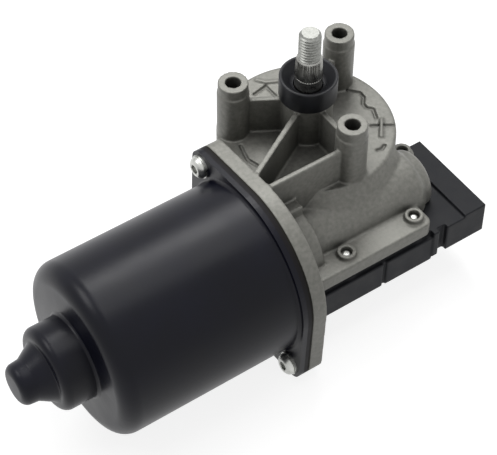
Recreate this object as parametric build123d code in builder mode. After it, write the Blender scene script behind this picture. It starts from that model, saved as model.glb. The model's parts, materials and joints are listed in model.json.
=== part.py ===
from build123d import *
import os
from math import atan, cos, degrees, pi, radians, sin, sqrt, tan

os.makedirs("parts", exist_ok=True)

# A two-speed wiper gearmotor. Millimetres. The origin is on the output shaft's axis, level with
# the tops of the three mounting posts. +Z runs up the output shaft, +X away from the motor can.

# ---------------------------------------------------------------- clearances
fit_gap = 0.03          # pressed or seated pieces, each side
run_gap = 0.05          # running bearings, radial
slip_gap = 0.3          # between pieces that move past each other
brush_gap = 0.1         # brush in its box, each side
brush_air = 0.08        # brush face to commutator
end_play = 0.1          # armature, at each end
backlash = 0.12         # worm and wheel, each flank
air_gap = 0.8           # core to magnets
wheel_room = 3.9        # wheel tips to the wall of the gear chamber
overcut = 3.4           # how far a cut runs past an open face

# ---------------------------------------------------------------- gears
gear_centres = 28.0     # output shaft axis to armature axis
worm_pitch_r = 3.6
wheel_teeth = 56
wheel_face = 9.0
tooth_addendum = 0.8
tooth_dedendum = 1.05
pressure_angle = 20.0
worm_turns = 8
worm_root_half = 13.0
wheel_rim_t = 3.6
wheel_web_t = 3.0
wheel_hub_r = 9.0
wheel_hub_rise = 0.3
wheel_rib_t = 1.6
wheel_ribs = 8
rib_set_in = 0.6
contact_disc_r = 18.0
contact_disc_t = 0.5
parking_cut = 7.0
parking_cut_w = 12.0
parking_angle = 200.0

# ---------------------------------------------------------------- heights, from the post tops
axis_depth = 43.0       # down to the armature axis
roof_depth = 24.0       # down to the roof of the gear case
joint_drop = 3.0        # armature axis down to the cover joint
hub_depth = 7.0         # down to the top of the hub
rib_depth = 8.6
web_depth = 9.2
ledge_t = 6.0
lug_rise = 2.0

# ---------------------------------------------------------------- gear case
case_wall = 3.4
roof_t = 2.6
roof_edge_r = 1.0
blend_angles = (-137.0, -50.0)
blend_reach = 6.0       # case wall out to the foot of its blend with the worm tube
blend_drop = 9.5        # roof down to that foot
post_inset = 6.0        # case wall in to the circle of the posts
post_angle = 29.0
post_d = 11.6
post_tip_d = 10.9
post_tip_h = 4.3
post_bore_d = 5.5
post_bore_depth = 17.0
hub_r = 9.2
hub_bore_r = 5.6
inner_boss_wall = 0.6
rib_t = 2.0
outline_corner_r = 3.0
lug_r = 4.6
lug_top_r = 3.5
lug_offset = 3.1        # case wall out to the centres of the side screws
side_screw_angles = (-31.3, 35.0, 100.0)
front_screw_x = (-15.5, 14.5)
front_screw_reach = 18.0
cover_screw_d = 4.0
ledge_right = 19.2
groove_w = 1.3
groove_depth = 0.9
ridge_w = 1.3
ridge_h = 0.8
roof_grooves = [
    [(21.8, 8.6), (26.4, 3.4), (26.3, 0.6), (23.9, -2.0), (23.8, -4.3), (25.4, -6.2), (23.4, -11.0)],
    [(19.3, -12.3), (27.4, -17.6)],
    [(18.3, -22.8), (15.8, -24.0), (13.6, -23.4)],
    [(-6.4, 24.2), (0.0, 25.4), (0.1, 18.8)],
    [(-24.6, 6.4), (-26.6, -1.0), (-25.2, -6.0)],
]
roof_ridges = [
    [(24.8, -12.2), (18.9, -19.6)],
    [(-1.5, 30.0), (1.2, 26.6), (5.4, 24.6)],
]

# ---------------------------------------------------------------- worm tube
tube_r = 14.0
tube_shoulder_x = 23.0
tube_end_x = 29.8
tube_nose_r = 11.5
tube_shoulder = 2.5
tube_nose_corner = 3.5
tube_edge = 1.0
collar_r = 18.0
collar_len = 11.6
key_len = 10.6          # block on the collar, beside the web
key_w = 4.7
key_depth = 21.0
worm_bore_r = 7.0
cradle_r = 10.5         # lower half of the tube, inside the cover
cradle_end_x = 16.0
cradle_nose_r = 8.6
cradle_nose_end = 25.6

# ---------------------------------------------------------------- flange and can
flange_x = -41.6        # motor side of the housing flange
flange_t = 5.8
flange_rim = 1.9        # can out to the edge of the flange
ear_offset = 5.7        # can out to the centres of the ears
ear_angle = 44.1
ear_r = 5.8
gasket_t = 0.8
gasket_w = 4.5          # can in to the gasket's bore
can_wall = 1.8
can_flange_t = 2.0
can_neck_r = 1.2
can_end_room = 11.8     # magnets to the end face
can_corner_r = 6.5
boss_r = 15.5
boss_len = 12.7
boss_corner_r = 3.2
boss_foot_r = 1.2
cone_top_r = 11.2
cone_top_corner = 1.0
cone_foot_corner = 1.6
nub_r = 7.9
nub_draft = 0.5
cone_len = 5.5
nub_len = 5.8
nub_corner_r = 3.0
flange_screw_d = 5.0
flange_hole_d = 5.8
flange_washer_t = 0.8
flange_washer_r = 4.4
flange_head_r = 4.1
flange_head_h = 2.4
flange_recess_r = 2.0
flange_recess_depth = 1.8

# ---------------------------------------------------------------- brush carrier
carrier_rim_t = 1.4
carrier_bore_r = 12.5
window_w = 20.0         # way through for the brush leads
window_h = 3.6
window_corner = 1.2
choke_angles = (50, 230)
choke_at_r = 22.0
choke_rod_r = 2.4
choke_coil_r = 3.5
choke_rod_len = 14.0
choke_coil_len = 11.0
capacitor_angle = 315
capacitor_at_r = 21.5
capacitor_size = (5.5, 13.0, 7.5)
capacitor_corner = 2.0
cutout_angle = 150
cutout_at_r = 22.0
cutout_size = (9.0, 7.0, 3.6)
cutout_corner = 0.8
lead_r = 0.8
lead_pitch = 5.0
lead_landing = 6.0

# ---------------------------------------------------------------- brushes
brush_angles = {"brush_common": 0, "brush_high_speed": 120, "brush_low_speed": 180}
brush_w = 6.0
brush_len = 11.0
box_wall = 0.6
box_start = 2.5         # commutator to the boxes' inner ends
box_room = 1.7          # boxes' outer ends to the can
box_slit_w = 1.8
box_slit_end = 3.0
spring_wire_r = 0.3
spring_coil_r = 2.2
spring_turns = 5

# ---------------------------------------------------------------- magnets and armature
magnet_setback = 14.2   # can mouth to the magnets
magnet_len = 46.0
magnet_t = 6.05
magnet_arc = 130.0
clip_t = 0.8
clip_flange = 4.4
clip_set_in = 2.0
core_setback = 8.0      # magnets' front to the core
core_len = 36.0
core_r = 23.8
core_slots = 12
slot_top_at = 18.6
slot_top_r = 2.9
slot_foot_at = 13.6
slot_foot_r = 1.5
slot_mouth = 2.2
winding_len = 7.2
winding_h = 11.6
winding_at_r = 15.7
winding_corner = 3.0
comm_r = 11.0
comm_setback = 1.2      # can mouth to the commutator
comm_len = 11.0
comm_hub_r = 8.0
comm_end = 0.5
bar_gap = 0.6
riser_t = 1.5
riser_r = 12.2

# ---------------------------------------------------------------- armature bearings
armature_shaft_r = 4.0
end_journal_r = 3.0
ball_bearing_r = 11.0
ball_bearing_w = 7.0
race_r = 7.5
race_gap = 0.08
ball_r = 2.0
ball_count = 7
ring_half = 1.3
end_bush_x = 17.0
end_bush_r = 6.0
end_bush_len = 6.0
thrust_pad_t = 1.5
rear_ball_r = 8.45
rear_bearing_half = 4.6
rear_bearing_set_in = 1.6
rear_pad_t = 1.2
rear_pad_r = 4.2
retainer_at = 2.9
retainer_t = 1.2
retainer_depth = 5.5

# ---------------------------------------------------------------- output shaft and cap
shaft_r = 5.0
shaft_chamfer = 0.6
shaft_tail = 6.5        # below the armature axis
spindle_top = 22.2
thread_len = 11.3
thread_d = 8.0
thread_chamfer = 1.0
taper_top_d = 9.2
taper_base_d = 10.2
taper_base_z = 2.5
bush_r = 7.2
upper_bush_len = 10.0
lower_bush_len = 9.0
o_ring_room = 2.2
washer_t = 0.5
lower_washer_r = 8.4
upper_washer_r = 8.0
clip_thick = 1.0
washer_gap = 0.4        # upper washer to the clip
clip_groove = 0.6
clip_r = 7.6
clip_mouth = 5.0
cap_r = 10.5
cap_seat_r = 8.3
cap_top = 2.0
cap_rim_t = 1.0
cap_rim_depth = 2.4
cap_rim_slope = 0.5
cap_lip_z = -3.0
cap_lip_t = 1.2

# ---------------------------------------------------------------- cover
seal_t = 0.8
seal_inset = 0.3
seal_w = 2.0
cover_depth = 15.2      # cover joint to the outside of the floor
cover_wall = 3.2
cover_floor_t = 2.2
cover_step = 3.2        # cover joint down to the step in the wall
rim_inset = 2.0
tray_reach = 23.4       # armature axis to the front wall
tray_left_gap = 0.3
tray_right = 22.0
cavity_reach = 16.0
cover_boss_r = 4.0
cover_head_r = 3.7
cover_head_h = 2.2
head_room = 0.2
screw_recess_r = 1.6
screw_recess_depth = 1.2
screw_tip_gap = 0.8
clip_slot_x = -1.5
clip_slot_w = 1.5
clip_slot_depth = 1.0

# ---------------------------------------------------------------- plug socket and lead plate
block_left = 20.0
block_right = 34.0
block_front_step = 0.6
block_back_reach = 14.8
block_floor_step = 2.0
block_roof = 3.0
bar_len = 9.6
bar_rise = 0.4
notch_x = 22.4
notch_w = 3.6
notch_depth = 1.9
chamber_left = 12.0
cavity_right = 26.2
socket_wall = 2.3       # between the terminal chamber and the socket
socket_reach = 8.0      # armature axis to the middle of the socket
socket_rise = 6.5
socket_w = 26.0
socket_h = 9.2
socket_corner = 1.5
blade_count = 5
blade_pitch = 5.0
blade_w = 2.8
blade_t = 0.8
blade_len = 9.5
blade_foot = 3.0
lead_plate_t = 1.6
plate_foot_h = 0.8
plate_foot_r = 2.5
plate_foot_inset = (3.0, 12.0)
plate_half_w = 21.0
plate_right = 24.6
plate_back = 17.0
plate_tab_reach = 8.0
finger_tips = ((8.0, 4.0), (10.5, 0.0), (13.0, -4.0))
finger_t = 0.4
finger_half_w = 1.0
finger_rise = 4.5
finger_foot = 3.5
finger_hook = 1.2

# ---------------------------------------------------------------- places worked out from these
motor_y = -gear_centres
motor_z = -axis_depth
roof_z = -roof_depth
joint_z = motor_z - joint_drop
hub_top = -hub_depth

wheel_pitch_r = gear_centres - worm_pitch_r
tooth_pitch = 2 * pi * wheel_pitch_r / wheel_teeth
lead_angle = degrees(atan(tooth_pitch / (2 * pi * worm_pitch_r)))
slope = tan(radians(pressure_angle))
wheel_r = wheel_pitch_r + tooth_addendum
wheel_bottom = motor_z - wheel_face / 2
wheel_hub_top = motor_z + wheel_face / 2 + wheel_hub_rise
inner_boss_bottom = wheel_hub_top + washer_t + slip_gap

chamber_r = wheel_r + wheel_room
case_r = chamber_r + case_wall
post_circle_r = case_r - post_inset
side_screw_r = case_r + lug_offset
front_screw_points = [(x, motor_y - front_screw_reach) for x in front_screw_x]
side_screw_points = [
    (side_screw_r * cos(radians(a)), side_screw_r * sin(radians(a))) for a in side_screw_angles
]
cover_screw_points = front_screw_points + side_screw_points

magnet_in_r = core_r + air_gap
magnet_out_r = magnet_in_r + magnet_t
can_in_r = magnet_out_r + run_gap
can_r = can_in_r + can_wall
can_len = magnet_setback + magnet_len + can_end_room
flange_r = can_r + flange_rim
ear_centre_r = can_r + ear_offset

flange_face_x = flange_x + flange_t
collar_end_x = flange_face_x + collar_len
can_mouth_x = flange_x - gasket_t - carrier_rim_t
can_end_x = can_mouth_x - can_len
boss_end_x = can_end_x - boss_len
cone_end_x = boss_end_x - cone_len
nub_end_x = cone_end_x - nub_len
ear_y = ear_centre_r * cos(radians(ear_angle))
ear_z = ear_centre_r * sin(radians(ear_angle))
ear_points = [(ear_y, ear_z), (-ear_y, -ear_z)]

cover_top = joint_z - seal_t
cover_bottom = joint_z - cover_depth
cover_inside = cover_bottom + cover_floor_t
cover_step_z = joint_z - cover_step
cover_left = flange_face_x + tray_left_gap
tray_front = motor_y - tray_reach
cavity_front = tray_front + cover_wall
cavity_back = motor_y + cavity_reach
lead_plate_top = cover_inside + plate_foot_h + lead_plate_t
window_z = lead_plate_top
block_bottom = cover_bottom + block_floor_step
block_front = tray_front - block_front_step
block_back = motor_y + block_back_reach
bar_right = block_right + bar_len
socket_left = cavity_right + socket_wall
socket_y = motor_y - socket_reach
socket_z = block_bottom + socket_rise

motor_axis = Axis((0, motor_y, motor_z), (1, 0, 0))
axial_plane = Plane(origin=(0, motor_y, motor_z), x_dir=(1, 0, 0), z_dir=(0, -1, 0))
shaft_plane = Plane.XZ


def cross_plane(x):
    """The plane across the armature axis at station x, its own x along +Y."""
    return Plane(origin=(x, motor_y, motor_z), x_dir=(0, 1, 0), z_dir=(1, 0, 0))


def flange_outline(grow=0.0):
    """Round flange with two opposite ears, drawn as a hull on a plane across the motor."""
    Circle(flange_r + grow)
    with Locations(*ear_points):
        Circle(ear_r + grow)
    make_hull()


# ================================================================ motor can
with BuildPart() as motor_can:
    # drawn shell with its stepped end
    with BuildSketch(axial_plane):
        with BuildLine():
            FilletPolyline(
                (can_mouth_x, can_r),
                (can_end_x, can_r),
                (can_end_x, boss_r),
                (boss_end_x, boss_r),
                (boss_end_x, cone_top_r),
                (cone_end_x, nub_r),
                (nub_end_x, nub_r - nub_draft),
                (nub_end_x, 0),
                radius=[
                    can_corner_r,
                    boss_foot_r,
                    boss_corner_r,
                    cone_top_corner,
                    cone_foot_corner,
                    nub_corner_r,
                ],
            )
            Polyline((nub_end_x, 0), (can_mouth_x, 0), (can_mouth_x, can_r))
        make_face()
    revolve(axis=motor_axis)
    # mounting flange at the open end
    with BuildSketch(cross_plane(can_mouth_x)):
        flange_outline()
    extrude(amount=-can_flange_t)
    neck = motor_can.edges().filter_by(GeomType.CIRCLE).filter_by(
        lambda e: abs(e.radius - can_r) < 0.01 and abs(e.center().X - can_mouth_x + can_flange_t) < 0.01
    )
    fillet(neck, radius=can_neck_r)
    # hollow, one wall inside the outer form
    with BuildSketch(axial_plane):
        with BuildLine():
            FilletPolyline(
                (can_mouth_x, can_in_r),
                (can_end_x + can_wall, can_in_r),
                (can_end_x + can_wall, boss_r - can_wall),
                (boss_end_x + can_wall, boss_r - can_wall),
                (boss_end_x + can_wall, cone_top_r - can_wall / 2),
                (cone_end_x + can_wall / 2, nub_r - can_wall),
                (nub_end_x + can_wall, nub_r - can_wall - nub_draft),
                (nub_end_x + can_wall, 0),
                radius=[
                    can_corner_r - can_wall,
                    boss_foot_r + can_wall / 2,
                    boss_corner_r - can_wall,
                    cone_top_corner,
                    cone_foot_corner,
                    nub_corner_r - can_wall,
                ],
            )
            Polyline((nub_end_x + can_wall, 0), (can_mouth_x, 0), (can_mouth_x, can_in_r))
        make_face()
    revolve(axis=motor_axis, mode=Mode.SUBTRACT)
    with BuildSketch(cross_plane(can_mouth_x)):
        with Locations(*ear_points):
            Circle(flange_hole_d / 2)
    extrude(amount=-can_flange_t, mode=Mode.SUBTRACT)
motor_can.part.label = "motor_can"
export_step(motor_can.part, "parts/motor_can.step")


def case_outline(right, left):
    """Plan of the cover joint: round case, straight front along the worm tube, screw lugs."""
    Circle(case_r)
    with Locations(((left + right) / 2, tray_front / 2)):
        RectangleRounded(right - left, -tray_front, outline_corner_r)
    with Locations(*cover_screw_points):
        Circle(lug_r)


# ================================================================ gear housing
with BuildPart() as gear_housing:
    # round case and the ledge that carries the cover
    with BuildSketch(Plane.XY.offset(joint_z)):
        Circle(case_r)
    extrude(amount=roof_z - joint_z)
    fillet(gear_housing.edges().group_by(Axis.Z)[-1], radius=roof_edge_r)
    with BuildSketch(Plane.XY.offset(joint_z)):
        case_outline(ledge_right, flange_x)
    extrude(amount=ledge_t)
    with BuildSketch(Plane.XY.offset(joint_z)):
        with Locations(*cover_screw_points):
            Circle(lug_top_r)
    extrude(amount=ledge_t + lug_rise)
    # worm tube with its collar and rounded end
    with BuildSketch(axial_plane):
        with BuildLine():
            FilletPolyline(
                (flange_face_x, collar_r),
                (collar_end_x, collar_r),
                (collar_end_x, tube_r),
                (tube_shoulder_x, tube_r),
                (tube_shoulder_x + tube_shoulder, tube_nose_r),
                (tube_end_x, tube_nose_r),
                (tube_end_x, 0),
                radius=[tube_edge, tube_edge, tube_shoulder, tube_shoulder, tube_nose_corner],
            )
            Polyline((tube_end_x, 0), (flange_face_x, 0), (flange_face_x, collar_r))
        make_face()
    revolve(axis=motor_axis)
    # the case wall flares out where it runs into the worm tube
    with BuildSketch(shaft_plane.rotated((0, 0, blend_angles[0]))):
        with BuildLine():
            inner = chamber_r + roof_edge_r
            Bezier(
                (inner, roof_z),
                (case_r + roof_edge_r, roof_z),
                (case_r + blend_reach / 4, roof_z - blend_drop / 2),
                (case_r + blend_reach, roof_z - blend_drop),
            )
            Polyline(
                (case_r + blend_reach, roof_z - blend_drop),
                (case_r + blend_reach, motor_z),
                (inner, motor_z),
                (inner, roof_z),
            )
        make_face()
    revolve(axis=Axis.Z, revolution_arc=blend_angles[1] - blend_angles[0])
    # nothing stands below the joint except the inner half of the worm tube
    with BuildSketch(Plane.XY.offset(joint_z)):
        Rectangle(6 * case_r, 6 * case_r)
    extrude(amount=-2 * case_r, mode=Mode.SUBTRACT)
    with BuildSketch(cross_plane(flange_face_x)):
        Circle(cradle_r)
    extrude(amount=cradle_end_x - flange_face_x)
    with BuildSketch(cross_plane(cradle_end_x)):
        Circle(cradle_nose_r)
    extrude(amount=cradle_nose_end - cradle_end_x)
    # motor flange
    with BuildSketch(cross_plane(flange_x)):
        flange_outline()
    extrude(amount=flange_t)
    # hub
    with BuildSketch(Plane.XY.offset(roof_z)):
        Circle(hub_r)
    extrude(amount=hub_top - roof_z)
    # mounting posts, a little slimmer at the tips
    with BuildSketch(Plane.XY.offset(roof_z - roof_t)):
        with PolarLocations(post_circle_r, 3, start_angle=post_angle):
            Circle(post_d / 2)
    extrude(amount=roof_depth + roof_t - post_tip_h)
    with BuildSketch(Plane.XY):
        with PolarLocations(post_circle_r, 3, start_angle=post_angle):
            Circle(post_tip_d / 2)
    extrude(amount=-post_tip_h)
    # ribs from the hub to the posts and to the flange
    with BuildSketch(Plane.XY.offset(-rib_depth)):
        with PolarLocations(post_circle_r / 2, 3, start_angle=post_angle):
            Rectangle(post_circle_r, rib_t)
    extrude(amount=roof_z + rib_depth)
    flange_rib_len = -flange_face_x / cos(radians(post_angle))
    with BuildSketch(Plane.XY.offset(-rib_depth)):
        with PolarLocations(flange_rib_len / 2, 1, start_angle=post_angle + 180):
            Rectangle(flange_rib_len, rib_t)
    extrude(amount=roof_z + rib_depth)
    # web along the top of the worm tube, from the front post to the flange
    with BuildSketch(Plane.XY.offset(-web_depth)):
        with Locations((flange_face_x / 2, motor_y + rib_t / 2)):
            Rectangle(-flange_face_x, rib_t)
    extrude(amount=motor_z + web_depth)
    # block between the web, the collar and the flange
    with BuildSketch(Plane.XY.offset(-key_depth)):
        with Locations((flange_face_x + key_len / 2, motor_y - key_w / 2)):
            Rectangle(key_len, key_w)
    extrude(amount=motor_z + key_depth)
    # gear chamber, leaving the shaft's inner boss
    with BuildSketch(Plane.XY.offset(motor_z - cradle_r)):
        Circle(chamber_r)
    extrude(amount=roof_z - roof_t - motor_z + cradle_r, mode=Mode.SUBTRACT)
    with BuildSketch(Plane.XY.offset(roof_z - roof_t)):
        Circle(hub_r + inner_boss_wall)
    extrude(amount=inner_boss_bottom - roof_z + roof_t)
    # bore for the output bushes and the shaft
    with BuildSketch(Plane.XY.offset(inner_boss_bottom)):
        Circle(hub_bore_r)
    extrude(amount=hub_top - inner_boss_bottom, mode=Mode.SUBTRACT)
    with BuildSketch(Plane.XY.offset(hub_top)):
        Circle(bush_r)
    extrude(amount=-upper_bush_len - o_ring_room, mode=Mode.SUBTRACT)
    with BuildSketch(Plane.XY.offset(inner_boss_bottom)):
        Circle(bush_r)
    extrude(amount=lower_bush_len, mode=Mode.SUBTRACT)
    # seats of the ball bearing and the end bush, and the worm's bore between them
    with BuildSketch(cross_plane(flange_x)):
        Circle(ball_bearing_r)
    extrude(amount=ball_bearing_w, mode=Mode.SUBTRACT)
    with BuildSketch(cross_plane(flange_x)):
        Circle(worm_bore_r)
    extrude(amount=end_bush_x - flange_x, mode=Mode.SUBTRACT)
    with BuildSketch(cross_plane(end_bush_x)):
        Circle(end_bush_r)
    extrude(amount=end_bush_len + thrust_pad_t, mode=Mode.SUBTRACT)
    # window for the brush leads, from the can into the cover
    with BuildSketch(cross_plane(flange_x)):
        with Locations((0, window_z - motor_z)):
            RectangleRounded(window_w, window_h, window_corner)
    extrude(amount=flange_t, mode=Mode.SUBTRACT)
    # blind holes in the posts, cover screw holes and flange screw holes
    with BuildSketch(Plane.XY):
        with PolarLocations(post_circle_r, 3, start_angle=post_angle):
            Circle(post_bore_d / 2)
    extrude(amount=-post_bore_depth, mode=Mode.SUBTRACT)
    with BuildSketch(Plane.XY.offset(joint_z)):
        with Locations(*cover_screw_points):
            Circle(cover_screw_d / 2 + fit_gap)
    extrude(amount=ledge_t + lug_rise, mode=Mode.SUBTRACT)
    with BuildSketch(cross_plane(flange_x)):
        with Locations(*ear_points):
            Circle(flange_screw_d / 2 + fit_gap)
    extrude(amount=flange_t, mode=Mode.SUBTRACT)
    # cast grooves and ridges on the roof
    with BuildSketch(Plane.XY.offset(roof_z)):
        for route in roof_grooves:
            with BuildLine():
                line = Polyline(*route)
            trace(line, line_width=groove_w)
    extrude(amount=-groove_depth, mode=Mode.SUBTRACT)
    with BuildSketch(Plane.XY.offset(roof_z)):
        for route in roof_ridges:
            with BuildLine():
                line = Polyline(*route)
            trace(line, line_width=ridge_w)
    extrude(amount=ridge_h)
gear_housing.part.label = "gear_housing"
export_step(gear_housing.part, "parts/gear_housing.step")


# ================================================================ cover
def joint_opening():
    """Opening of the cover joint: gear chamber, worm tube and its end, clear of the bosses."""
    Circle(chamber_r)
    left = cover_left + cover_wall
    right = ledge_right - cover_wall
    with Locations(((left + right) / 2, (cavity_front + cavity_back) / 2)):
        Rectangle(right - left, cavity_back - cavity_front)
    with Locations((cradle_nose_end / 2, motor_y)):
        Rectangle(cradle_nose_end + 2 * slip_gap, 2 * (cradle_nose_r + slip_gap))
    with Locations(*cover_screw_points):
        Circle(cover_boss_r, mode=Mode.SUBTRACT)


plate_front = cavity_front + slip_gap
foot_x = plate_half_w - plate_foot_inset[0]
foot_y = (plate_back - plate_front) / 2 - plate_foot_inset[1]
lead_gap_w = 2 * (cradle_r + tube_edge)

with BuildPart() as gear_cover:
    # tray, its top rim set back behind the ledge
    with BuildSketch(Plane.XY.offset(cover_bottom)):
        case_outline(tray_right, cover_left)
    extrude(amount=cover_step_z - cover_bottom)
    with BuildSketch(Plane.XY.offset(cover_step_z)):
        Circle(case_r)
        with Locations(((cover_left + tray_right) / 2, (tray_front + rim_inset) / 2)):
            Rectangle(tray_right - cover_left, -tray_front - rim_inset)
        with Locations(*cover_screw_points):
            Circle(cover_boss_r)
    extrude(amount=cover_top - cover_step_z)
    # connector block and its raised collar
    with BuildSketch(Plane.XY.offset(block_bottom)):
        with Locations(((block_left + block_right) / 2, (block_front + block_back) / 2)):
            Rectangle(block_right - block_left, block_back - block_front)
    extrude(amount=cover_top - block_bottom)
    with BuildSketch(Plane.XY.offset(block_bottom)):
        with Locations(((block_right + bar_right) / 2, (block_front + block_back) / 2)):
            Rectangle(bar_right - block_right, block_back - block_front)
    extrude(amount=joint_z + bar_rise - block_bottom)
    with BuildSketch(Plane.XY.offset(cover_top)):
        with Locations(side_screw_points[0]):
            Circle(lug_r + slip_gap)
    extrude(amount=seal_t + bar_rise, mode=Mode.SUBTRACT)
    # hollow tray
    with BuildSketch(Plane.XY.offset(cover_inside)):
        joint_opening()
    extrude(amount=cover_top - cover_inside + overcut, mode=Mode.SUBTRACT)
    # terminal chamber under the roof of the connector block
    chamber_back = block_back - cover_wall
    with BuildSketch(Plane.XY.offset(cover_inside)):
        with Locations(((chamber_left + cavity_right) / 2, (cavity_front + chamber_back) / 2)):
            Rectangle(cavity_right - chamber_left, chamber_back - cavity_front)
        with Locations(front_screw_points[1]):
            Circle(cover_boss_r, mode=Mode.SUBTRACT)
    extrude(amount=joint_z - block_roof - cover_inside, mode=Mode.SUBTRACT)
    # opening for the brush leads beside the flange
    with BuildSketch(Plane.YZ.offset(cover_left)):
        with Locations((motor_y, (window_z - window_h / 2 + cover_top) / 2)):
            Rectangle(lead_gap_w, cover_top - window_z + window_h / 2)
    extrude(amount=cover_wall, mode=Mode.SUBTRACT)
    # connector socket, open towards +X
    with BuildSketch(Plane.YZ.offset(bar_right)):
        with Locations((socket_y, socket_z)):
            RectangleRounded(socket_w, socket_h, socket_corner)
    extrude(amount=socket_left - bar_right, mode=Mode.SUBTRACT)
    with BuildSketch(Plane.YZ.offset(socket_left)):
        with Locations((socket_y, socket_z)):
            with GridLocations(blade_pitch, 1, blade_count, 1):
                Rectangle(blade_w + 2 * fit_gap, blade_t + 2 * fit_gap)
    extrude(amount=cavity_right - socket_left, mode=Mode.SUBTRACT)
    # gap between tray and connector block, and the clip slot
    with BuildSketch(Plane.XY.offset(cover_bottom)):
        with Locations((notch_x + notch_w / 2, block_front + notch_depth / 2)):
            Rectangle(notch_w, notch_depth)
    extrude(amount=cover_top - cover_bottom, mode=Mode.SUBTRACT)
    with BuildSketch(Plane.XY.offset(cover_bottom)):
        with Locations((clip_slot_x, tray_front + clip_slot_depth / 2)):
            Rectangle(clip_slot_w, clip_slot_depth)
    extrude(amount=cover_step_z - cover_bottom, mode=Mode.SUBTRACT)
    # screw holes with sunk heads
    with BuildSketch(Plane.XY.offset(cover_bottom)):
        with Locations(*cover_screw_points):
            Circle(cover_screw_d / 2 + slip_gap)
    extrude(amount=cover_top - cover_bottom, mode=Mode.SUBTRACT)
    with BuildSketch(Plane.XY.offset(cover_bottom)):
        with Locations(*cover_screw_points):
            Circle(cover_head_r + head_room)
    extrude(amount=cover_head_h + head_room, mode=Mode.SUBTRACT)
    # feet under the lead plate
    with BuildSketch(Plane.XY.offset(cover_inside)):
        with Locations((0, (plate_front + plate_back) / 2)):
            with GridLocations(2 * foot_x, 2 * foot_y, 2, 2):
                Circle(plate_foot_r)
    extrude(amount=plate_foot_h)
gear_cover.part.label = "gear_cover"
export_step(gear_cover.part, "parts/gear_cover.step")

with BuildPart() as cover_seal:
    with BuildSketch(Plane.XY.offset(cover_top)):
        Circle(case_r - seal_inset)
        with Locations(((cover_left + ledge_right) / 2, (tray_front + rim_inset + seal_inset) / 2)):
            Rectangle(ledge_right - cover_left - 2 * seal_inset, -tray_front - rim_inset - seal_inset)
        with Locations(*cover_screw_points):
            Circle(cover_boss_r - seal_inset)
        with Locations((cradle_nose_end / 2, motor_y)):
            Rectangle(cradle_nose_end + 2 * (slip_gap + seal_w), 2 * (cradle_nose_r + slip_gap + seal_w))
        with BuildSketch(mode=Mode.PRIVATE) as hole:
            joint_opening()
        add(hole.sketch, mode=Mode.SUBTRACT)
        with Locations((cover_left, motor_y)):
            Rectangle(3 * cover_wall, lead_gap_w, mode=Mode.SUBTRACT)
        with Locations(*cover_screw_points):
            Circle(cover_screw_d / 2 + slip_gap, mode=Mode.SUBTRACT)
    extrude(amount=seal_t)
cover_seal.part.label = "cover_seal"
export_step(cover_seal.part, "parts/cover_seal.step")

with BuildPart() as connector_terminals:
    # flat blades, bent down to the lead plate at their inner ends
    with BuildSketch(Plane.XZ.offset(-socket_y)):
        with BuildLine():
            blade_in = cavity_right - blade_foot
            Polyline(
                (blade_in, lead_plate_top),
                (blade_in + blade_t, lead_plate_top),
                (blade_in + blade_t, socket_z - blade_t / 2),
                (socket_left + blade_len, socket_z - blade_t / 2),
                (socket_left + blade_len, socket_z + blade_t / 2),
                (blade_in, socket_z + blade_t / 2),
                close=True,
            )
        make_face()
    blade = extrude(amount=blade_w / 2, both=True, mode=Mode.PRIVATE)
    with GridLocations(1, blade_pitch, 1, blade_count):
        add(blade)
connector_terminals.part.label = "connector_terminals"
export_step(connector_terminals.part, "parts/connector_terminals.step")

with BuildPart() as lead_plate:
    with BuildSketch(Plane.XY.offset(lead_plate_top)):
        plate_tab_back = motor_y + plate_tab_reach
        with Locations((0, (plate_front + plate_back) / 2)):
            Rectangle(2 * plate_half_w, plate_back - plate_front)
        with Locations((plate_right / 2, (plate_front + plate_tab_back) / 2)):
            Rectangle(plate_right, plate_tab_back - plate_front)
        with Locations(*front_screw_points):
            Circle(cover_boss_r + slip_gap, mode=Mode.SUBTRACT)
    extrude(amount=-lead_plate_t)
lead_plate.part.label = "lead_plate"
export_step(lead_plate.part, "parts/lead_plate.step")

with BuildPart() as cover_screws:
    head_z = cover_bottom + head_room
    with BuildSketch(Plane.XY.offset(head_z)):
        with Locations(*cover_screw_points):
            Circle(cover_head_r)
    extrude(amount=cover_head_h)
    with BuildSketch(Plane.XY.offset(head_z)):
        with Locations(*cover_screw_points):
            Circle(cover_screw_d / 2)
    extrude(amount=joint_z + ledge_t - screw_tip_gap - head_z)
    with BuildSketch(Plane.XY.offset(head_z)):
        with Locations(*cover_screw_points):
            RegularPolygon(screw_recess_r, 6)
    extrude(amount=screw_recess_depth, mode=Mode.SUBTRACT)
cover_screws.part.label = "cover_screws"
export_step(cover_screws.part, "parts/cover_screws.step")


# ================================================================ flange joint
carrier_plate_r = can_in_r - slip_gap
carrier_plate_back = can_mouth_x - can_flange_t

with BuildPart() as flange_gasket:
    with BuildSketch(cross_plane(flange_x)):
        flange_outline()
        Circle(can_r - gasket_w, mode=Mode.SUBTRACT)
        with Locations(*ear_points):
            Circle(flange_hole_d / 2, mode=Mode.SUBTRACT)
    extrude(amount=-gasket_t)
flange_gasket.part.label = "flange_gasket"
export_step(flange_gasket.part, "parts/flange_gasket.step")

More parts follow.
